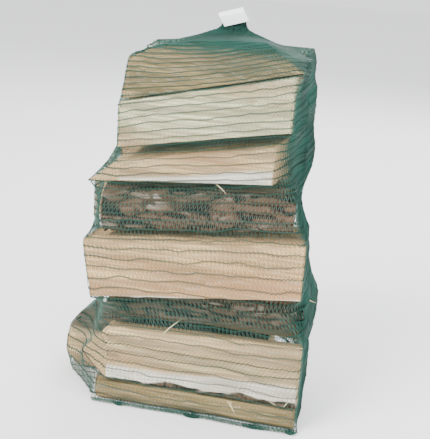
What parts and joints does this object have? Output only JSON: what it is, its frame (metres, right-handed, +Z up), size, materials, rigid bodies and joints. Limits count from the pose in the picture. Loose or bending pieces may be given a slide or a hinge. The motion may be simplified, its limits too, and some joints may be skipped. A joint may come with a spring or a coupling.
{
  "type": "firewood bundle",
  "caption": "Split firewood logs stacked lengthwise in a green knitted net bag, drawn shut at the top under a bare folded label.",
  "frame": {"origin": "on the surface that the bag stands on, below the middle of the bag's bounding box", "axes": "+Z up, +X to the right along the logs, -Y towards the front of the bag"},
  "size_m": [0.3178, 0.1968, 0.4793],
  "materials": {
    "split_wood": "matte",
    "pale_wood": "matte",
    "weathered_wood": "matte",
    "bark": "matte",
    "net": "satin",
    "card": "satin"
  },
  "bodies": {
    "root": {"log_front_1": "weathered_wood", "log_front_2": "split_wood", "log_front_3": "bark", "log_front_4": "split_wood", "log_front_5": "bark", "log_front_6": "split_wood", "log_front_7": "pale_wood", "log_front_8": "weathered_wood", "log_rear_1": "bark", "log_rear_2": "split_wood", "log_rear_3": "bark", "log_rear_4": "split_wood", "log_rear_5": "bark", "log_rear_6": "split_wood", "log_rear_7": "pale_wood", "net_bag": "net", "label": "card"}
  },
  "joints": []
}
